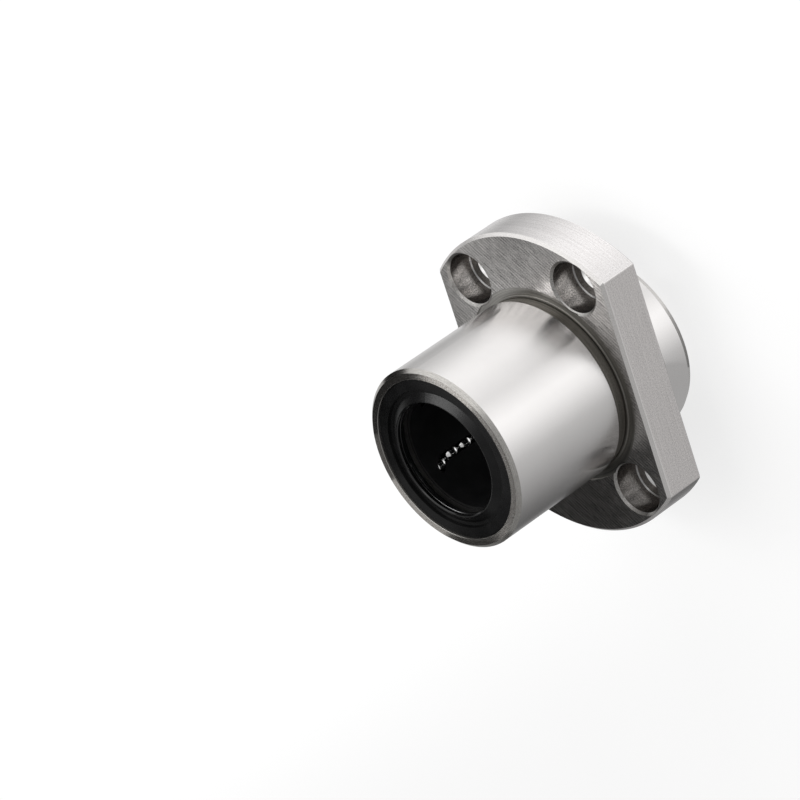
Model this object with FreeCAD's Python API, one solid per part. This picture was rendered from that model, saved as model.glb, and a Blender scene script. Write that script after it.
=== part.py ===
# Flanged linear ball bearing with a pilot: a steel sleeve whose flange is cut flat on two sides,
# a resin cage with closed ball circuits, end rings and lip seals.
# Millimetres. +Z runs along the shaft from the pilot end (z = 0) to the body end,
# and +X runs along the flange's long way.
import math
import os

import FreeCAD
import Part
from FreeCAD import Vector

# Shaft, balls and sleeve
SHAFT_D = 20.0
BALL_D = 3.175
RACE_PLAY = 0.04  # between a loaded ball and the raceway
SLEEVE_WALL = 2.785  # from the raceway to the outside
LENGTH = 42.0
END_CHAMFER = 0.6
PILOT_LEAD = 1.1  # how far the pilot's end chamfer runs along the pilot
MOUTH_CHAMFER = 0.05

# Flange
PILOT_LENGTH = 8.0
FLANGE_THICKNESS = 8.0
FLANGE_D = 54.0
FLANGE_FLATS = 38.0
FLANGE_CHAMFER = 0.5
FLANGE_CORNER = 0.5  # rounding between the round ends and the flats

# Foot of the cylinder on each side of the flange: a grinding relief with a narrow undercut,
# and a shallow recess in the flange's face around the collar that is left
RELIEF_WIDTH = 2.2  # from the flange to the ground cylinder
RELIEF_DEPTH = 0.4
UNDERCUT_WIDTH = 0.3
UNDERCUT_DEPTH = 0.2  # below the relief
COLLAR_WIDTH = 0.5
RECESS_WIDTH = 1.5
RECESS_DEPTH = 0.2

# Bolt holes, counterbored from the body side
HOLE_END_INSET = 9.0  # from the round ends
HOLE_FLAT_INSET = 7.0  # from the flats
HOLE_D = 5.5
COUNTERBORE_D = 9.0
COUNTERBORE_DEPTH = 5.1
COUNTERBORE_CORNER = 0.2  # slope left between the counterbore's wall and its floor
HOLE_CHAMFER = 0.4

# Ball circuits
CIRCUITS = 5
FIRST_ROW_ANGLE = 115.5  # degrees from +X to the first loaded row
BALL_GAP = 0.075  # between neighbouring balls
RACE_HALF_WIDTH = 0.6  # from the loaded row to the edge of its return track
TRACK_CLEARANCE = 0.1  # between a returning ball and the sleeve
CHANNEL_CLEARANCE = 0.12  # between a ball and the cage

# Cage
CAGE_SHAFT_GAP = 0.06
CAGE_RACE_GAP = 0.165
CAGE_END_PLAY = 0.05
CAGE_END_WALL = 0.9  # least wall past a circuit's turn

# Ends of the sleeve: a seal lies outside a ring, and the ring lies on a shoulder
MOUTH_LEDGE = 0.1  # shoulder left outside the return tracks
RING_THICKNESS = 0.8
RING_MOUTH_GAP = 0.05
RING_SHAFT_GAP = 0.6
SEAL_RECESS = 0.3  # from the end of the sleeve to the seal's face
SEAL_THICKNESS = 1.9
SEAL_MOUTH_GAP = 0.02
SEAL_EDGE = 0.15
SEAL_LAND = 1.9  # flat outer band of the face
SEAL_GROOVE_WIDTH = 0.7  # between the band and the cone that rises to the outer lip
SEAL_GROOVE_DEPTH = 0.5
LIP_CLEARANCE = 0.02
LIP_INSET = 0.05  # from the end of the sleeve to the top of the outer lip
LIP_TOP = 0.15
LIP_EDGE = 0.15
LIP_LAND = 0.25  # along the shaft, for the outer and the inner lip
NOTCH_WIDTH = 0.4  # between the two lips
NOTCH_DEPTH = 0.35
LIP_BACK = 0.6
BEAD_HEIGHT = 0.15
BEAD_WIDTH = 0.7
BEAD_PLAY = 0.05

# How far a cutter runs past the material that it cuts
OVERRUN = 0.5
FULL_TURN = 360.0
HALF_TURN = 180.0
TURN_BALLS = 2

AXIS = Vector(0, 0, 1)
ORIGIN = Vector(0, 0, 0)

# Sizes that follow from the driving ones
shaft_r = SHAFT_D / 2
ball_r = BALL_D / 2
race_r = shaft_r + BALL_D + RACE_PLAY
body_r = race_r + SLEEVE_WALL
flange_r = FLANGE_D / 2
flange_low = PILOT_LENGTH
flange_high = PILOT_LENGTH + FLANGE_THICKNESS
relief_r = body_r - RELIEF_DEPTH
undercut_r = relief_r - UNDERCUT_DEPTH
collar_r = undercut_r + COLLAR_WIDTH

# A circuit lies in a plane that touches the loaded row's circle. Its two straight rows are joined
# by half circles, and a ball moves a quarter of a turn there while it moves one pitch in a row.
pitch = BALL_D + BALL_GAP
turn_step = HALF_TURN / TURN_BALLS
turn_r = pitch / 2 / math.sin(math.radians(turn_step / 2))
row_r = shaft_r + ball_r
return_r = math.hypot(row_r, 2 * turn_r)
track_r = ball_r + TRACK_CLEARANCE
channel_r = ball_r + CHANNEL_CLEARANCE
mouth_r = return_r + track_r + MOUTH_LEDGE

end_depth = SEAL_RECESS + SEAL_THICKNESS + RING_THICKNESS
cage_low = end_depth + CAGE_END_PLAY
cage_high = LENGTH - cage_low
cage_r = race_r - CAGE_RACE_GAP
row_room = cage_high - cage_low - 2 * (CAGE_END_WALL + turn_r + channel_r)
row_count = int(row_room / pitch)
row_length = row_count * pitch
row_low = (LENGTH - row_length) / 2
row_high = row_low + row_length


def turned(points):
    """A solid turned about the shaft's axis from (radius, height) points."""
    corners = [Vector(radius, 0, height) for radius, height in points]
    face = Part.Face(Part.makePolygon(corners + corners[:1]))
    return face.revolve(ORIGIN, AXIS, FULL_TURN)


def from_end(points, pilot_end):
    """The same points measured inwards from one end of the sleeve."""
    return [(radius, depth if pilot_end else LENGTH - depth) for radius, depth in points]


def around(shape, circuit):
    """A copy of a shape made for the row on +X, turned to a circuit's place."""
    copy = shape.copy()
    copy.rotate(ORIGIN, AXIS, FIRST_ROW_ANGLE + circuit * FULL_TURN / CIRCUITS)
    return copy


# Sleeve
def cylinder_blank():
    points = [
        (0, 0),
        (body_r - END_CHAMFER, 0),
        (body_r, PILOT_LEAD),
        (body_r, flange_low - RELIEF_WIDTH),
        (relief_r, flange_low - RELIEF_WIDTH + RELIEF_DEPTH),
        (relief_r, flange_low - UNDERCUT_WIDTH),
        (undercut_r, flange_low - UNDERCUT_WIDTH),
        (undercut_r, flange_high + UNDERCUT_WIDTH),
        (relief_r, flange_high + UNDERCUT_WIDTH),
        (relief_r, flange_high + RELIEF_WIDTH - RELIEF_DEPTH),
        (body_r, flange_high + RELIEF_WIDTH),
        (body_r, LENGTH - END_CHAMFER),
        (body_r - END_CHAMFER, LENGTH),
        (0, LENGTH),
    ]
    return turned(points)


def flange_blank():
    disc = Part.makeCylinder(flange_r, FLANGE_THICKNESS, AXIS * flange_low)
    disc.rotate(ORIGIN, AXIS, HALF_TURN / 2)
    slab_corner = Vector(-flange_r, -FLANGE_FLATS / 2, flange_low)
    blank = disc.common(Part.makeBox(FLANGE_D, FLANGE_FLATS, FLANGE_THICKNESS, slab_corner))
    upright = [edge for edge in blank.Edges if edge.BoundBox.ZLength > FLANGE_THICKNESS / 2]
    blank = blank.makeFillet(FLANGE_CORNER, upright)
    outline = [edge for edge in blank.Edges if edge.BoundBox.ZLength < FLANGE_THICKNESS / 2]
    return blank.makeChamfer(FLANGE_CHAMFER, outline)


def recess_cutter(face, way):
    floor = face - way * RECESS_DEPTH
    above = face + way * RECESS_DEPTH
    outer = collar_r + RECESS_WIDTH
    return turned([(collar_r, floor), (outer, floor), (outer, above), (collar_r, above)])


def mouth_cutter(pilot_end):
    bead_low = SEAL_RECESS + (SEAL_THICKNESS - BEAD_WIDTH) / 2 - BEAD_PLAY
    bead_high = bead_low + BEAD_WIDTH + 2 * BEAD_PLAY
    groove_r = mouth_r - SEAL_MOUTH_GAP + BEAD_HEIGHT + BEAD_PLAY
    groove_slope = groove_r - mouth_r
    points = [
        (race_r - OVERRUN, -OVERRUN),
        (mouth_r + MOUTH_CHAMFER + OVERRUN, -OVERRUN),
        (mouth_r, MOUTH_CHAMFER),
        (mouth_r, bead_low),
        (groove_r, bead_low + groove_slope),
        (groove_r, bead_high - groove_slope),
        (mouth_r, bead_high),
        (mouth_r, end_depth),
        (race_r - OVERRUN, end_depth),
    ]
    return turned(from_end(points, pilot_end))


def hole_cutter(x, y):
    hole_r = HOLE_D / 2
    counterbore_r = COUNTERBORE_D / 2
    floor = flange_high - COUNTERBORE_DEPTH
    points = [
        (0, flange_low - HOLE_CHAMFER),
        (hole_r + 2 * HOLE_CHAMFER, flange_low - HOLE_CHAMFER),
        (hole_r, flange_low + HOLE_CHAMFER),
        (hole_r, floor),
        (counterbore_r - COUNTERBORE_CORNER, floor),
        (counterbore_r, floor + COUNTERBORE_CORNER),
        (counterbore_r, flange_high - HOLE_CHAMFER),
        (counterbore_r + 2 * HOLE_CHAMFER, flange_high + HOLE_CHAMFER),
        (0, flange_high + HOLE_CHAMFER),
    ]
    cutter = turned(points)
    cutter.translate(Vector(x, y, 0))
    return cutter


def track_cutter():
    roof = row_r + track_r
    side = 2 * turn_r + track_r
    inside = row_r - track_r
    slope = track_r * math.sin(math.radians(turn_step / 2))
    start = Vector(roof, 2 * turn_r, 0)
    middle = Vector(row_r + slope, 2 * turn_r + slope, 0)
    end = Vector(row_r, side, 0)
    low_corner = Vector(inside, side, 0)
    edge_corner = Vector(inside, RACE_HALF_WIDTH, 0)
    roof_corner = Vector(roof, RACE_HALF_WIDTH, 0)
    outline = Part.Wire(
        [
            Part.Arc(start, middle, end).toShape(),
            Part.makeLine(end, low_corner),
            Part.makeLine(low_corner, edge_corner),
            Part.makeLine(edge_corner, roof_corner),
            Part.makeLine(roof_corner, start),
        ]
    )
    return Part.Face(outline).extrude(AXIS * LENGTH)


def flanged_sleeve():
    flange = flange_blank().cut([recess_cutter(flange_low, -1), recess_cutter(flange_high, 1)])
    bore = Part.makeCylinder(race_r, LENGTH)
    cutters = [bore, mouth_cutter(True), mouth_cutter(False)]
    hole_x = flange_r - HOLE_END_INSET
    hole_y = FLANGE_FLATS / 2 - HOLE_FLAT_INSET
    for x in (-hole_x, hole_x):
        for y in (-hole_y, hole_y):
            cutters.append(hole_cutter(x, y))
    track = track_cutter()
    cutters += [around(track, circuit) for circuit in range(CIRCUITS)]
    return cylinder_blank().fuse(flange).cut(cutters).removeSplitter()


# Cage
def channel_section(height):
    top = cage_r + OVERRUN
    left = Vector(row_r, -channel_r, height)
    right = Vector(row_r, channel_r, height)
    bottom = Vector(row_r - channel_r, 0, height)
    top_right = Vector(top, channel_r, height)
    top_left = Vector(top, -channel_r, height)
    outline = Part.Wire(
        [
            Part.Arc(left, bottom, right).toShape(),
            Part.makeLine(right, top_right),
            Part.makeLine(top_right, top_left),
            Part.makeLine(top_left, left),
        ]
    )
    return Part.Face(outline)


def channel_cutter():
    low_section = channel_section(row_low)
    high_section = channel_section(row_high)
    loaded_row = low_section.extrude(AXIS * row_length)
    return_row = loaded_row.copy()
    return_row.translate(Vector(0, 2 * turn_r, 0))
    outward = Vector(1, 0, 0)
    pilot_turn = low_section.revolve(Vector(0, turn_r, row_low), outward, HALF_TURN)
    body_turn = high_section.revolve(Vector(0, turn_r, row_high), outward, -HALF_TURN)
    return loaded_row.fuse([return_row, pilot_turn, body_turn]).removeSplitter()


def ball_cage():
    bore_r = shaft_r + CAGE_SHAFT_GAP
    tube = turned([(bore_r, cage_low), (cage_r, cage_low), (cage_r, cage_high), (bore_r, cage_high)])
    channel = channel_cutter()
    return tube.cut([around(channel, circuit) for circuit in range(CIRCUITS)])


# Balls
def balls(places, circuit):
    spheres = [Part.makeSphere(ball_r, Vector(row_r, across, height)) for across, height in places]
    return around(Part.makeCompound(spheres), circuit)


def row_places(across):
    return [(across, row_low + (step + 0.5) * pitch) for step in range(row_count)]


def turn_places(centre_height, way):
    angles = [math.radians(turn_step * (step + 0.5)) for step in range(TURN_BALLS)]
    return [
        (turn_r - turn_r * math.cos(angle), centre_height + way * turn_r * math.sin(angle))
        for angle in angles
    ]


# Rings and seals
def end_ring(pilot_end):
    inner = shaft_r + RING_SHAFT_GAP
    outer = mouth_r - RING_MOUTH_GAP
    front = end_depth - RING_THICKNESS
    points = [(inner, front), (outer, front), (outer, end_depth), (inner, end_depth)]
    return turned(from_end(points, pilot_end))


def end_seal(pilot_end):
    front = SEAL_RECESS
    back = SEAL_RECESS + SEAL_THICKNESS
    outer = mouth_r - SEAL_MOUTH_GAP
    bead_low = front + (SEAL_THICKNESS - BEAD_WIDTH) / 2
    bead_high = bead_low + BEAD_WIDTH
    band_r = outer - SEAL_LAND
    groove_floor = front + SEAL_GROOVE_DEPTH
    lip_r = shaft_r + LIP_CLEARANCE
    lip_high = LIP_INSET + LIP_EDGE
    notch_high = lip_high + LIP_LAND
    notch_low = notch_high + NOTCH_WIDTH
    points = [
        (outer - SEAL_EDGE, front),
        (outer, front + SEAL_EDGE),
        (outer, bead_low),
        (outer + BEAD_HEIGHT, bead_low + BEAD_HEIGHT),
        (outer + BEAD_HEIGHT, bead_high - BEAD_HEIGHT),
        (outer, bead_high),
        (outer, back),
        (lip_r + LIP_BACK, back),
        (lip_r, notch_low + LIP_LAND),
        (lip_r, notch_low),
        (lip_r + NOTCH_DEPTH, notch_high + NOTCH_WIDTH / 2),
        (lip_r, notch_high),
        (lip_r, lip_high),
        (lip_r + LIP_EDGE, LIP_INSET),
        (lip_r + LIP_EDGE + LIP_TOP, LIP_INSET),
        (band_r - SEAL_GROOVE_WIDTH, groove_floor),
        (band_r - SEAL_EDGE, groove_floor),
        (band_r, front),
    ]
    return turned(from_end(points, pilot_end))


def bearing():
    nodes = {
        "flanged_sleeve": flanged_sleeve(),
        "ball_cage": ball_cage(),
        "pilot_end_ring": end_ring(True),
        "body_end_ring": end_ring(False),
        "pilot_end_seal": end_seal(True),
        "body_end_seal": end_seal(False),
    }
    for circuit in range(CIRCUITS):
        number = circuit + 1
        nodes[f"loaded_balls_{number}"] = balls(row_places(0), circuit)
        nodes[f"return_balls_{number}"] = balls(row_places(2 * turn_r), circuit)
        nodes[f"body_turn_balls_{number}"] = balls(turn_places(row_high, 1), circuit)
        nodes[f"pilot_turn_balls_{number}"] = balls(turn_places(row_low, -1), circuit)
    return nodes


os.makedirs("parts", exist_ok=True)
for name, shape in bearing().items():
    shape.exportStep(f"parts/{name}.step")
    print(name, len(shape.Solids), "solids", round(shape.Volume, 2), "mm3", shape.isValid())
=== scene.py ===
import math
import bpy
from mathutils import Matrix, Vector


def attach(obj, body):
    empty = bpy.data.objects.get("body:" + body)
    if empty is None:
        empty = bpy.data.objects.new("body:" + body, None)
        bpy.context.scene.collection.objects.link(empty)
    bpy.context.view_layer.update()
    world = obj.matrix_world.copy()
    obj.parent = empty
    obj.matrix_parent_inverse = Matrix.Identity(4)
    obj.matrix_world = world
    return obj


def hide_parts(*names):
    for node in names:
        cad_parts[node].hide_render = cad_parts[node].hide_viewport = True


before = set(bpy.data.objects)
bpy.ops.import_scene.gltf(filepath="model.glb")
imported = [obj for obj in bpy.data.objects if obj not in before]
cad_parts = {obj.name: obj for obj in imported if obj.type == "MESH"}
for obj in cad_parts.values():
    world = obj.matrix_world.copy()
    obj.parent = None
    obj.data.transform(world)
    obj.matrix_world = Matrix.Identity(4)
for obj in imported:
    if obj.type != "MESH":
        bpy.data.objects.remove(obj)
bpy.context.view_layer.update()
print("frame loaded:", len(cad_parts), "nodes")


# small helpers for shader trees: a number or a socket goes in, a socket comes out
def feed(tree, socket, value):
    if isinstance(value, bpy.types.NodeSocket):
        tree.links.new(value, socket)
    else:
        socket.default_value = value


def calc(tree, op, a, b=0.0, c=0.0):
    node = tree.nodes.new("ShaderNodeMath")
    node.operation = op
    for socket, value in zip(node.inputs, (a, b, c)):
        feed(tree, socket, value)
    return node.outputs[0]


def vec(tree, op, a, b=None, scale=None):
    node = tree.nodes.new("ShaderNodeVectorMath")
    node.operation = op
    feed(tree, node.inputs[0], a)
    if b is not None:
        feed(tree, node.inputs[1], b)
    if scale is not None:
        feed(tree, node.inputs["Scale"], scale)
    return node.outputs["Value"] if op in ("LENGTH", "DOT_PRODUCT") else node.outputs[0]


def split(tree, vector):
    node = tree.nodes.new("ShaderNodeSeparateXYZ")
    feed(tree, node.inputs[0], vector)
    return node.outputs


def join(tree, x, y, z):
    node = tree.nodes.new("ShaderNodeCombineXYZ")
    for socket, value in zip(node.inputs, (x, y, z)):
        feed(tree, socket, value)
    return node.outputs[0]


def over(tree, value, low):
    return calc(tree, "GREATER_THAN", value, low)


def under(tree, value, high):
    return calc(tree, "LESS_THAN", value, high)


def both(tree, a, b):
    return calc(tree, "MULTIPLY", a, b)


def between(tree, value, low, high):
    return both(tree, over(tree, value, low), under(tree, value, high))


def either(tree, a, b):
    return calc(tree, "MAXIMUM", a, b)


def fade(tree, value, low, high, start=0.0, end=1.0):
    node = tree.nodes.new("ShaderNodeMapRange")
    node.interpolation_type = "SMOOTHSTEP"
    numbers = {"Value": value, "From Min": low, "From Max": high, "To Min": start, "To Max": end}
    for name, number in numbers.items():
        feed(tree, node.inputs[name], number)
    return node.outputs[0]


# a Mix node takes its share at socket 0, numbers at 2 and 3, and colours at 6 and 7
def pick(tree, mask, a, b):
    node = tree.nodes.new("ShaderNodeMix")
    node.data_type = "FLOAT"
    feed(tree, node.inputs[0], mask)
    feed(tree, node.inputs[2], a)
    feed(tree, node.inputs[3], b)
    return node.outputs[0]


def tint(tree, mask, a, b):
    node = tree.nodes.new("ShaderNodeMix")
    node.data_type = "RGBA"
    feed(tree, node.inputs[0], mask)
    feed(tree, node.inputs[6], a if isinstance(a, bpy.types.NodeSocket) else (*a, 1))
    feed(tree, node.inputs[7], b if isinstance(b, bpy.types.NodeSocket) else (*b, 1))
    return node.outputs[2]


def noise(tree, vector, scale, detail=2.0, rough=0.5):
    node = tree.nodes.new("ShaderNodeTexNoise")
    feed(tree, node.inputs["Vector"], vector)
    node.inputs["Scale"].default_value = scale
    node.inputs["Detail"].default_value = detail
    node.inputs["Roughness"].default_value = rough
    return node.outputs[0]


def bump(tree, height, distance, strength=1.0, normal=None):
    node = tree.nodes.new("ShaderNodeBump")
    node.inputs["Distance"].default_value = distance
    feed(tree, node.inputs["Strength"], strength)
    feed(tree, node.inputs["Height"], height)
    if normal is not None:
        feed(tree, node.inputs["Normal"], normal)
    return node.outputs[0]


def blank(name):
    mat = bpy.data.materials.new(name)
    mat.use_nodes = True
    tree = mat.node_tree
    return mat, tree, tree.nodes["Principled BSDF"]


def millimetres(tree):
    coord = tree.nodes.new("ShaderNodeTexCoord")
    return vec(tree, "SCALE", coord.outputs["Object"], scale=1000.0)


def dress(nodeName, material):
    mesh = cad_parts[nodeName].data
    mesh.materials.clear()
    mesh.materials.append(material)


# camera: the photo's own viewpoint, worked out from the flange and rim outlines
cameraSet = {
    "place": (0.304331, -0.593775, 0.506046),
    "right": (-0.297114, -0.671330, -0.678999),
    "down": (-0.883694, -0.076025, 0.461850),
    "lens": 231.58,
    "sensor": 36.0,
}


def makeCamera(s):
    data = bpy.data.cameras.new("camera")
    data.lens = s["lens"]
    data.sensor_width = s["sensor"]
    data.sensor_fit = "HORIZONTAL"
    data.clip_start = 0.01
    data.dof.use_dof = False
    cam = bpy.data.objects.new("camera", data)
    right = Vector(s["right"]).normalized()
    up = -Vector(s["down"]).normalized()
    back = right.cross(up).normalized()
    up = back.cross(right)
    turn = Matrix((right, up, back)).transposed().to_4x4()
    cam.matrix_world = Matrix.Translation(Vector(s["place"])) @ turn
    bpy.context.scene.collection.objects.link(cam)
    bpy.context.scene.camera = cam


makeCamera(cameraSet)
print("camera set")

# studio: a pale floor, a large softbox over the right shoulder, a light room and dark flags
studioSet = {
    "floorSize": 4.0,
    "floorDrop": 0.00005,
    "floorColour": (0.30, 0.30, 0.30),
    "floorGlow": 0.74,            # what the camera sees before the lamps add to it
    # what steel sees, as degrees round from +X and the tone there: the table, and the room above it
    "tableTones": (
        (-180, 0.18), (-113, 0.52), (-80, 0.98), (-65, 1.08), (-35, 0.82), (0, 1.02),
        (20, 0.98), (43, 0.72), (78, 0.40), (100, 0.75), (150, 0.1),
    ),
    "roomTones": (
        (-180, 0.30), (-121, 0.45), (-60, 0.52), (-40, 0.70), (-22, 0.66), (-8, 0.2),
        (5, 0.08), (70, 0.08), (82, 0.68), (117, 0.60), (150, 0.40),
    ),
    "overhead": 0.45,
    "fill": 0.5,
    "overheadFade": (0.75, 1.0),  # heights of a line of sight where the room turns into what is overhead
    "tableFade": (-0.15, 0.0),    # and where the table turns into the room
    # lamps: degrees round from +X, degrees up, distance, width, height, roll, tone
    "lamps": {
        "softbox": (40.0, 45.0, 0.8, 1.25, 1.25, 0.0, 0.92),
        "stripLamp": (46.0, 56.0, 0.79, 0.42, 0.16, -57.0, 6.0),
    },
    # flags on one upright plane beside the part: low and high x, low and high z, tone; a flag with
    # a lid height is laid flat there along the mirrored line of sight, so the body's wall misses it
    "flagY": 0.022,
    "sight": (-0.362, 0.710, 0.605),
    "flags": (
        (-0.0005, 0.026, 0.0455, 0.0607, 0.02, 0),
        (-0.009, -0.0005, 0.0455, 0.0607, 0.09, 0),
        (-0.140, -0.016, -0.120, 0.0455, 0.0, 0.046),
        (-0.140, -0.023, 0.0455, 0.066, 0.03, 0),
        (-0.060, -0.006, 0.067, 0.100, 0.12, 0),
        (0.0135, 0.030, 0.036, 0.0455, 0.0, 0),
        (-0.023, -0.009, 0.0455, 0.0612, 0.36, 0),
        (0.004, 0.022, 0.0165, 0.0235, 0.2, 0.026),
    ),
    # a dim card that lies by the pilot, seen only in polished steel: painted shade standing in for the floor in the
    # flange's shadow there; low and high x, low and high y, tone
    "footShadeCard": (-0.027, -0.004, -0.027, -0.009, 0.38),
}


def makeFloor(s):
    half = s["floorSize"] / 2
    mesh = bpy.data.meshes.new("floor")
    corners = [(-half, -half), (half, -half), (half, half), (-half, half)]
    mesh.from_pydata([(x, y, -s["floorDrop"]) for x, y in corners], [], [(0, 1, 2, 3)])
    floor = bpy.data.objects.new("floor", mesh)
    bpy.context.scene.collection.objects.link(floor)
    mat, tree, shader = blank("paleFloor")
    tree.nodes.remove(shader)
    path = tree.nodes.new("ShaderNodeLightPath")
    glow = tree.nodes.new("ShaderNodeEmission")
    feed(tree, glow.inputs["Strength"], calc(tree, "MULTIPLY", path.outputs["Is Camera Ray"], s["floorGlow"]))
    paint = tree.nodes.new("ShaderNodeBsdfDiffuse")
    paint.inputs["Color"].default_value = (*s["floorColour"], 1)
    lit = tree.nodes.new("ShaderNodeAddShader")
    tree.links.new(glow.outputs[0], lit.inputs[0])
    tree.links.new(paint.outputs[0], lit.inputs[1])
    tree.links.new(lit.outputs[0], tree.nodes["Material Output"].inputs["Surface"])
    mesh.materials.append(mat)
    floor.visible_glossy = False  # polished steel sees the room's own table tones instead


def tonesAround(tree, x, y, tones):
    ramp = tree.nodes.new("ShaderNodeValToRGB")
    turn = calc(tree, "ARCTAN2", y, x)
    feed(tree, ramp.inputs[0], calc(tree, "MULTIPLY_ADD", turn, 0.5 / math.pi, 0.5))
    stops = ramp.color_ramp.elements
    tones = tones + ((180, tones[0][1]),)
    while len(stops) < len(tones):
        stops.new(0.5)
    for stop, (angle, tone) in zip(stops, tones):
        stop.position = angle / 360 + 0.5
        stop.color = (tone, tone, tone, 1)
    return ramp.outputs[0]


def makeRoom(s):
    scene = bpy.context.scene
    world = bpy.data.worlds.new("room")
    scene.world = world
    world.use_nodes = True
    world.cycles.sampling_method = "NONE"  # rough steel then sees the same room as polished steel
    tree = world.node_tree
    path = tree.nodes.new("ShaderNodeLightPath")
    mirror = either(tree, path.outputs["Is Glossy Ray"], path.outputs["Is Transmission Ray"])
    x, y, z = split(tree, tree.nodes.new("ShaderNodeTexCoord").outputs["Generated"])
    table = tonesAround(tree, x, y, s["tableTones"])
    walls = tonesAround(tree, x, y, s["roomTones"])
    room = pick(tree, fade(tree, z, *s["overheadFade"]), walls, s["overhead"])
    seen = pick(tree, fade(tree, z, *s["tableFade"]), table, room)
    level = pick(tree, mirror, s["fill"], seen)
    back = tree.nodes["Background"]
    back.inputs["Color"].default_value = (1, 1, 1, 1)
    feed(tree, back.inputs["Strength"], pick(tree, path.outputs["Is Camera Ray"], level, 1.0))
    scene.view_settings.view_transform = "Standard"


def makeLamps(s):
    for name, (turn, rise, far, width, height, roll, tone) in s["lamps"].items():
        turn, rise = math.radians(turn), math.radians(rise)
        flat = math.cos(rise)
        place = Vector((math.cos(turn) * flat, math.sin(turn) * flat, math.sin(rise))) * far
        light = bpy.data.lights.new(name, "AREA")
        light.shape = "RECTANGLE"
        light.size = width
        light.size_y = height
        light.energy = tone * math.pi * width * height
        lamp = bpy.data.objects.new(name, light)
        lamp.location = place
        aim = place.to_track_quat("Z", "Y").to_matrix()
        lamp.rotation_euler = (aim @ Matrix.Rotation(math.radians(roll), 3, "Z")).to_euler()
        lamp.visible_camera = False
        bpy.context.scene.collection.objects.link(lamp)


def makeCard(name, corners, tone):
    mesh = bpy.data.meshes.new(name)
    mesh.from_pydata(corners, [], [(0, 1, 2, 3)])
    card = bpy.data.objects.new(name, mesh)
    bpy.context.scene.collection.objects.link(card)
    mat, tree, shader = blank(name + "Tone")
    tree.nodes.remove(shader)
    glow = tree.nodes.new("ShaderNodeEmission")
    glow.inputs["Strength"].default_value = tone
    oneSided = tree.nodes.new("ShaderNodeMixShader")
    feed(tree, oneSided.inputs[0], tree.nodes.new("ShaderNodeNewGeometry").outputs["Backfacing"])
    tree.links.new(glow.outputs[0], oneSided.inputs[1])
    tree.links.new(tree.nodes.new("ShaderNodeBsdfTransparent").outputs[0], oneSided.inputs[2])
    tree.links.new(oneSided.outputs[0], tree.nodes["Material Output"].inputs["Surface"])
    mesh.materials.append(mat)
    card.visible_camera = False
    card.visible_diffuse = False
    return card


def makeFlags(s):
    sight = Vector(s["sight"])
    for number, (x0, x1, z0, z1, tone, lid) in enumerate(s["flags"], 1):
        corners = [Vector((x, s["flagY"], z)) for x, z in ((x0, z0), (x1, z0), (x1, z1), (x0, z1))]
        if lid:
            corners = [corner + sight * ((lid - corner.z) / sight.z) for corner in corners]
        makeCard(f"flag{number}", corners, tone)
    # the card by the pilot is painted shade: a dim sheet the pilot reflects where the floor lies in the flange's
    # shadow
    x0, x1, y0, y1, tone = s["footShadeCard"]
    z = -s["floorDrop"] / 2
    makeCard("footShadeCard", [(x0, y0, z), (x1, y0, z), (x1, y1, z), (x0, y1, z)], tone).visible_shadow = False


makeFloor(studioSet)
makeRoom(studioSet)
makeLamps(studioSet)
makeFlags(studioSet)
print("studio lit")

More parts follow.
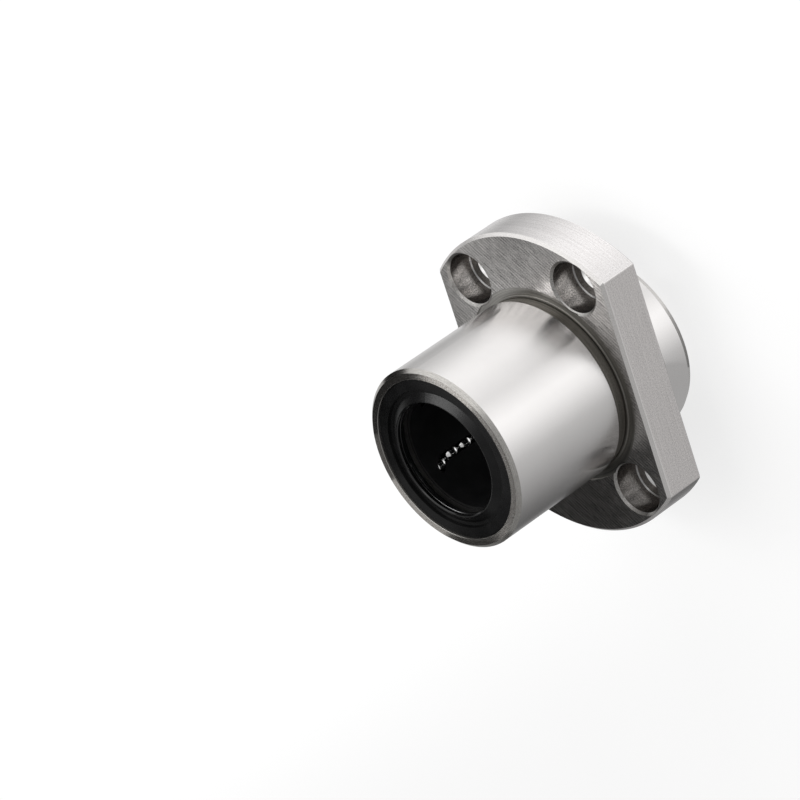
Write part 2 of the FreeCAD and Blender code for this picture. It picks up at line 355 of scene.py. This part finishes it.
# sleeve: one steel piece whose finish changes from place to place, sizes in mm
sleeveSet = {
    "ground": (1.1, 5.8, 18.2, 41.4),  # heights where each ground cylinder starts and ends
    "bodyR": 16.0,
    "foot": (15.2, 15.98),
    "recessR": 17.4,
    "flange": (8.0, 16.0),
    "flangeR": 27.0,
    "flat": 19.0,
    "flatTop": 15.32,             # above it a painted highlight, a brighter colour, lies along the flat's edge as a bright line
    "hole": (18.0, 12.0),
    "holeR": 4.91,
    "holeFloor": 10.9,
    "boltR": 2.8,
    "rimR": 14.2,
    "flangeFrom": 15.7,
    # a face's share of +Z: above the first it is level, from the second on it slopes, below the third it is upright
    "tilts": (0.95, 0.3, 0.1),
    "grain": 48.0,                # degrees from +X of the ground lines on the flange faces
    "hatch": 0.56,                # mm between them
    "hatchShare": 0.055,
    "faceNoise": 0.55,            # how much uneven line stays among them
    "faceFine": 0.6,              # how closely those lie, set against the turned lines
    "streaks": (0.01, 0.10),      # how fast a turned and a ground line change along themselves
    "lineScale": 5.5,
    "speckScale": 5.0,
    "cloudScale": 0.12,
    "contrast": 8.0,
    "cloudShare": 0.08,
    "polish": 0.12,               # how far the lines change the roughness
    "lineBump": (0.000012, 2.0),  # height in m and gain
    "speckBump": (0.00002, 0.6),
    "stretch": (0.6, 0.85),       # how far the marks draw a highlight out, and on the ground cylinders
    # finish: colour, roughness, share of shade in the tool lines, share in the specks
    "finish": {
        "inside": ((0.50, 0.49, 0.47), 0.36, 0.06, 0.03),
        "cylinder": ((0.92, 0.90, 0.89), 0.22, 0.008, 0.006),
        "foot": ((0.22, 0.207, 0.186), 0.40, 0.16, 0.12),
        "face": ((0.44, 0.427, 0.416), 0.30, 0.44, 0.24),
        "recess": ((0.36, 0.35, 0.33), 0.32, 0.22, 0.10),
        "arc": ((0.905, 0.88, 0.873), 0.22, 0.06, 0.07),
        "flat": ((0.80, 0.77, 0.757), 0.34, 0.06, 0.16),
        # painted highlight: a brighter colour along the flat's top edge
        "flatEdgeHighlight": ((0.97, 0.945, 0.93), 0.22, 0.01, 0.03),
        "edge": ((0.79, 0.77, 0.755), 0.26, 0.02, 0.04),
        "rim": ((0.80, 0.757, 0.71), 0.15, 0.10, 0.36),
        "rimEdge": ((0.52, 0.505, 0.48), 0.28, 0.04, 0.12),
        "lead": ((0.82, 0.80, 0.775), 0.28, 0.04, 0.08),
        "hole": ((0.38, 0.36, 0.345), 0.24, 0.08, 0.36),
        # the counterbore's floor is darker than its walls: painted shade at the bottom of the recess
        "holeFloor": ((0.26, 0.25, 0.24), 0.30, 0.06, 0.30),
        "holeEdge": ((0.42, 0.41, 0.395), 0.36, 0.05, 0.25),
        "holeCorner": ((0.36, 0.355, 0.35), 0.25, 0.02, 0.12),
        "bolt": ((0.92, 0.915, 0.905), 0.10, 0.02, 0.04),
    },
}


def sleeveZones(tree, s, x, y, z, r, tilt, holeR):
    # the small numbers are slack in mm, so that a zone holds its own faces safely
    levelTilt, slopeTilt, uprightTilt = s["tilts"]
    level = over(tree, tilt, levelTilt)
    slope = between(tree, tilt, slopeTilt, levelTilt)
    upright = under(tree, tilt, uprightTilt)
    low0, low1, high0, high1 = s["ground"]
    bottom, top = s["flange"]
    ends = either(tree, between(tree, z, low0, low1), between(tree, z, high0, high1))
    feet = either(tree, between(tree, z, low1, bottom + 0.05), between(tree, z, top - 0.05, high0))
    inFlange = both(tree, between(tree, z, bottom - 0.01, top + 0.01), over(tree, r, s["flangeFrom"]))
    faces = both(tree, inFlange, level)
    pastRelief = over(tree, r, s["recessR"] + 0.05)
    nearEnd = either(tree, under(tree, z, low0), over(tree, z, high1))
    atEnd = both(tree, nearEnd, over(tree, r, s["rimR"]))
    endSlope = both(tree, atEnd, slope)
    inHole = both(tree, inFlange, under(tree, holeR, s["holeR"]))
    holeSlope = both(tree, inHole, slope)
    holeLow = between(tree, z, s["holeFloor"] - 0.05, s["holeFloor"] + 0.3)
    atFlat = both(tree, over(tree, calc(tree, "ABSOLUTE", y), s["flat"] - 0.02), upright)
    return {
        "cylinder": both(tree, over(tree, r, s["bodyR"] - 0.02), ends),
        "foot": both(tree, between(tree, r, *s["foot"]), feet),
        "face": faces,
        "recess": both(tree, faces, under(tree, r, s["recessR"])),
        "arc": both(tree, over(tree, r, s["flangeR"] - 0.05), upright),
        "flat": atFlat,
        # the flat's top strip, where the painted highlight lies
        "flatEdgeHighlight": both(tree, atFlat, over(tree, z, s["flatTop"])),
        "edge": both(tree, both(tree, inFlange, slope), pastRelief),
        "rim": both(tree, atEnd, level),
        "rimEdge": endSlope,
        "lead": both(tree, endSlope, under(tree, z, low0)),
        "hole": inHole,
        "holeFloor": both(tree, inHole, level),
        "holeEdge": holeSlope,
        "holeCorner": both(tree, holeSlope, holeLow),
        "bolt": both(tree, inHole, under(tree, holeR, s["boltR"])),
    }


def sleeveSteel(s):
    mat, tree, shader = blank("sleeveSteel")
    p = millimetres(tree)
    x, y, z = split(tree, p)
    r = vec(tree, "LENGTH", join(tree, x, y, 0.0))
    facing = tree.nodes.new("ShaderNodeNewGeometry").outputs["True Normal"]
    tilt = calc(tree, "ABSOLUTE", split(tree, facing)[2])
    # place seen from the nearest hole's axis
    holeX = calc(tree, "SUBTRACT", x, calc(tree, "MULTIPLY", calc(tree, "SIGN", x), s["hole"][0]))
    holeY = calc(tree, "SUBTRACT", y, calc(tree, "MULTIPLY", calc(tree, "SIGN", y), s["hole"][1]))
    holeR = vec(tree, "LENGTH", join(tree, holeX, holeY, 0.0))
    zones = sleeveZones(tree, s, x, y, z, r, tilt, holeR)
    # each zone lays its finish over the ones before it
    colour, rough, lineShare, speckShare = s["finish"]["inside"]
    for name, mask in zones.items():
        zoneColour, zoneRough, zoneLines, zoneSpecks = s["finish"][name]
        colour = tint(tree, mask, colour, zoneColour)
        rough = pick(tree, mask, rough, zoneRough)
        lineShare = pick(tree, mask, lineShare, zoneLines)
        speckShare = pick(tree, mask, speckShare, zoneSpecks)
    # tool lines run round the axis, along the flats, round each hole and slantwise over the flange faces
    grain, fine = math.radians(s["grain"]), s["faceFine"]
    slant, lean = math.cos(grain), math.sin(grain)
    notGround = either(tree, zones["recess"], zones["hole"])
    faceLines = both(tree, zones["face"], calc(tree, "SUBTRACT", 1.0, notGround))
    turned = pick(tree, over(tree, tilt, s["tilts"][0]), z, r)
    lap = pick(tree, zones["hole"], turned, calc(tree, "ADD", holeR, z))
    straight = calc(tree, "MULTIPLY_ADD", x, fine * lean, calc(tree, "MULTIPLY", y, -fine * slant))
    lap = pick(tree, faceLines, lap, straight)
    streak = pick(tree, faceLines, *s["streaks"])
    along = join(tree, calc(tree, "MULTIPLY", x, streak), calc(tree, "MULTIPLY", y, streak), lap)
    lines = calc(tree, "SUBTRACT", noise(tree, along, s["lineScale"], detail=3.0, rough=0.65), 0.5)
    hatch = calc(tree, "SINE", calc(tree, "MULTIPLY", straight, 2.0 * math.pi / (fine * s["hatch"])))
    uneven = calc(tree, "MULTIPLY", lines, s["faceNoise"])
    lines = pick(tree, faceLines, lines, calc(tree, "MULTIPLY_ADD", hatch, s["hatchShare"], uneven))
    specks = calc(tree, "SUBTRACT", noise(tree, p, s["speckScale"], detail=2.0, rough=0.6), 0.5)
    cloud = calc(tree, "SUBTRACT", noise(tree, p, s["cloudScale"], detail=3.0, rough=0.55), 0.5)
    # they shade the colour, ripple the surface and change its polish, and a slow cloud lies over all
    byLines = calc(tree, "MULTIPLY", lines, calc(tree, "MULTIPLY", lineShare, s["contrast"]))
    bySpecks = calc(tree, "MULTIPLY", specks, calc(tree, "MULTIPLY", speckShare, s["contrast"]))
    bySpecks = calc(tree, "MULTIPLY_ADD", cloud, s["cloudShare"], bySpecks)
    gain = calc(tree, "ADD", calc(tree, "ADD", 1.0, byLines), bySpecks)
    tree.links.new(vec(tree, "SCALE", colour, scale=gain), shader.inputs["Base Color"])
    tree.links.new(calc(tree, "MULTIPLY_ADD", lines, s["polish"], rough), shader.inputs["Roughness"])
    height, share = s["lineBump"]
    ripple = bump(tree, lines, height, calc(tree, "MULTIPLY", lineShare, share))
    height, share = s["speckBump"]
    pits = bump(tree, specks, height, calc(tree, "MULTIPLY", speckShare, share), ripple)
    tree.links.new(pits, shader.inputs["Normal"])
    # the marks spread a highlight across themselves
    ringX = calc(tree, "MULTIPLY", pick(tree, zones["hole"], y, holeY), -1.0)
    ringX = pick(tree, faceLines, ringX, slant)
    ringY = pick(tree, faceLines, pick(tree, zones["hole"], x, holeX), lean)
    across = vec(tree, "NORMALIZE", vec(tree, "CROSS_PRODUCT", facing, join(tree, ringX, ringY, 0.0)))
    tree.links.new(across, shader.inputs["Tangent"])
    tree.links.new(pick(tree, zones["cylinder"], *s["stretch"]), shader.inputs["Anisotropic"])
    shader.inputs["Metallic"].default_value = 1.0
    return mat


dress("flanged_sleeve", sleeveSteel(sleeveSet))
print("sleeve dressed")

# seals and cage: black mouldings with two close tones and a fine grain
rubberSet = {
    "colour": (0.003, 0.003, 0.0032),
    "other": (0.007, 0.007, 0.0072),
    "rough": 0.28,
    "grain": 4.0,
    "depth": 0.5,
    "height": 0.00001,            # m
    "polish": 0.12,               # how far the grain changes the roughness
    "cloudScale": 0.35,
    "cloudFade": (0.35, 0.75),
    "shine": 0.24,
    "lipR": 10.3,                 # within it the shaft has rubbed the lip smooth and left oil on it
    "lipRough": 0.14,
    "lipShine": 0.6,
}
resinSet = {
    "colour": (0.006, 0.006, 0.0065),
    "other": (0.011, 0.011, 0.0115),
    "rough": 0.42,
    "grain": 2.5,
    "depth": 0.3,
    "height": 0.00001,
    "polish": 0.12,
    "cloudScale": 0.35,
    "cloudFade": (0.35, 0.75),
    "shine": 0.24,
}


def blackMoulding(name, s):
    mat, tree, shader = blank(name)
    p = millimetres(tree)
    cloud = noise(tree, p, s["cloudScale"], detail=4.0, rough=0.6)
    grain = noise(tree, p, s["grain"], detail=3.0, rough=0.6)
    tones = tint(tree, fade(tree, cloud, *s["cloudFade"]), s["colour"], s["other"])
    tree.links.new(tones, shader.inputs["Base Color"])
    tree.links.new(bump(tree, grain, s["height"], s["depth"]), shader.inputs["Normal"])
    shader.inputs["Specular IOR Level"].default_value = s["shine"]
    rough = calc(tree, "ADD", s["rough"] - s["polish"] / 2, calc(tree, "MULTIPLY", grain, s["polish"]))
    if "lipR" in s:
        x, y = split(tree, p)[:2]
        lip = under(tree, vec(tree, "LENGTH", join(tree, x, y, 0.0)), s["lipR"])
        rough = pick(tree, lip, rough, s["lipRough"])
        tree.links.new(pick(tree, lip, s["shine"], s["lipShine"]), shader.inputs["Specular IOR Level"])
    tree.links.new(rough, shader.inputs["Roughness"])
    return mat


rubber = blackMoulding("sealRubber", rubberSet)
resin = blackMoulding("cageResin", resinSet)
for sealName in ("pilot_end_seal", "body_end_seal"):
    dress(sealName, rubber)
dress("ball_cage", resin)
print("seals and cage dressed")

# end rings behind the seals
ringSet = {
    "colour": (0.24, 0.236, 0.23),
    "rough": 0.36,
    "streak": 0.15,
    "markScale": 3.0,
    "shade": 0.3,
    "polish": 0.16,
    "depth": 0.4,
    "height": 0.00001,
}


def ringSteel(s):
    mat, tree, shader = blank("ringSteel")
    p = millimetres(tree)
    x, y = split(tree, p)[:2]
    r = vec(tree, "LENGTH", join(tree, x, y, 0.0))
    along = join(tree, calc(tree, "MULTIPLY", x, s["streak"]), calc(tree, "MULTIPLY", y, s["streak"]), r)
    marks = noise(tree, along, s["markScale"], detail=4.0, rough=0.6)
    gain = calc(tree, "ADD", 1.0 - s["shade"] / 2, calc(tree, "MULTIPLY", marks, s["shade"]))
    tree.links.new(vec(tree, "SCALE", s["colour"], scale=gain), shader.inputs["Base Color"])
    rough = calc(tree, "ADD", s["rough"] - s["polish"] / 2, calc(tree, "MULTIPLY", marks, s["polish"]))
    tree.links.new(rough, shader.inputs["Roughness"])
    tree.links.new(bump(tree, marks, s["height"], s["depth"]), shader.inputs["Normal"])
    shader.inputs["Metallic"].default_value = 1.0
    return mat


stamped = ringSteel(ringSet)
for ringName in ("pilot_end_ring", "body_end_ring"):
    dress(ringName, stamped)
print("end rings dressed")

# balls: every group of a circuit is a short line of balls, laid by one node tree
ballSet = {
    "circuits": 5,
    "firstAngle": 115.5,
    "shaftR": 0.010,
    "ballR": 0.0015875,
    "pitch": 0.00325,
    "rowCount": 8,
    "middle": 0.021,
    "facets": 4,
    "colour": (0.90, 0.90, 0.90),
    "smear": (0.78, 0.77, 0.75),
    "rough": (0.05, 0.16),        # clean and under the film
    "filmScale": 0.8,
    "filmFade": (0.4, 0.8),
    "dullFade": (0.3, 0.8),
}


def ballSteel(s):
    mat, tree, shader = blank("ballSteel")
    p = millimetres(tree)
    film = noise(tree, p, s["filmScale"], detail=3.0, rough=0.6)
    tones = tint(tree, fade(tree, film, *s["filmFade"]), s["colour"], s["smear"])
    tree.links.new(tones, shader.inputs["Base Color"])
    tree.links.new(fade(tree, film, *s["dullFade"], *s["rough"]), shader.inputs["Roughness"])
    shader.inputs["Metallic"].default_value = 1.0
    return mat


def ballTree():
    tree = bpy.data.node_groups.new("ballLine", "GeometryNodeTree")
    kinds = {
        "Ball Radius": "Float", "Facets": "Int", "Count": "Int",
        "Start": "Vector", "Step": "Vector", "Material": "Material",
    }
    sockets = {}
    for name, kind in kinds.items():
        socket = tree.interface.new_socket(name, in_out="INPUT", socket_type="NodeSocket" + kind)
        sockets[name] = socket.identifier
    tree.interface.new_socket("Geometry", in_out="OUTPUT", socket_type="NodeSocketGeometry")
    source = tree.nodes.new("NodeGroupInput")
    line = tree.nodes.new("GeometryNodeMeshLine")
    ball = tree.nodes.new("GeometryNodeMeshIcoSphere")
    smooth = tree.nodes.new("GeometryNodeSetShadeSmooth")
    place = tree.nodes.new("GeometryNodeInstanceOnPoints")
    real = tree.nodes.new("GeometryNodeRealizeInstances")
    paint = tree.nodes.new("GeometryNodeSetMaterial")
    out = tree.nodes.new("NodeGroupOutput")
    link = tree.links.new
    link(source.outputs["Count"], line.inputs["Count"])
    link(source.outputs["Start"], line.inputs["Start Location"])
    link(source.outputs["Step"], line.inputs["Offset"])
    link(source.outputs["Ball Radius"], ball.inputs["Radius"])
    link(source.outputs["Facets"], ball.inputs["Subdivisions"])
    link(ball.outputs["Mesh"], smooth.inputs["Geometry"])
    link(line.outputs["Mesh"], place.inputs["Points"])
    link(smooth.outputs["Geometry"], place.inputs["Instance"])
    link(place.outputs["Instances"], real.inputs["Geometry"])
    link(real.outputs["Geometry"], paint.inputs["Geometry"])
    link(source.outputs["Material"], paint.inputs["Material"])
    link(paint.outputs["Geometry"], out.inputs["Geometry"])
    return tree, sockets


def layBalls(name, tree, sockets, values):
    holder = bpy.data.objects.new(name + "Maker", bpy.data.meshes.new(name + "Maker"))
    bpy.context.scene.collection.objects.link(holder)
    mod = holder.modifiers.new("balls", "NODES")
    mod.node_group = tree
    for key, value in values.items():
        mod[sockets[key]] = value
    graph = bpy.context.evaluated_depsgraph_get()
    mesh = bpy.data.meshes.new_from_object(holder.evaluated_get(graph), depsgraph=graph)
    holder.modifiers.remove(mod)
    bpy.data.objects.remove(holder)
    mesh.name = name
    piece = bpy.data.objects.new(name, mesh)
    bpy.context.scene.collection.objects.link(piece)
    return piece


def makeBalls(s):
    tree, sockets = ballTree()
    steel = ballSteel(s)
    pitch = s["pitch"]
    turnR = pitch / math.sqrt(2)
    rowR = s["shaftR"] + s["ballR"]
    rowLow = s["middle"] - s["rowCount"] * pitch / 2
    rowHigh = s["middle"] + s["rowCount"] * pitch / 2
    up = Vector((0, 0, 1))
    for i in range(s["circuits"]):
        angle = math.radians(s["firstAngle"] + i * 360 / s["circuits"])
        out = Vector((math.cos(angle), math.sin(angle), 0))
        along = Vector((-out.y, out.x, 0))
        first = out * rowR + up * (rowLow + pitch / 2)
        turnIn = out * rowR + along * (turnR - pitch / 2)
        groups = {
            "loaded": (s["rowCount"], first, up * pitch),
            "return": (s["rowCount"], first + along * 2 * turnR, up * pitch),
            "body_turn": (2, turnIn + up * (rowHigh + pitch / 2), along * pitch),
            "pilot_turn": (2, turnIn + up * (rowLow - pitch / 2), along * pitch),
        }
        for group, (count, start, step) in groups.items():
            cadName = f"{group}_balls_{i + 1}"
            values = {
                "Ball Radius": s["ballR"], "Facets": s["facets"], "Count": count,
                "Start": start, "Step": step, "Material": steel,
            }
            piece = layBalls(cadName + "_polished", tree, sockets, values)
            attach(piece, cadName)
            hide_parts(cadName)


makeBalls(ballSet)
print("balls laid")
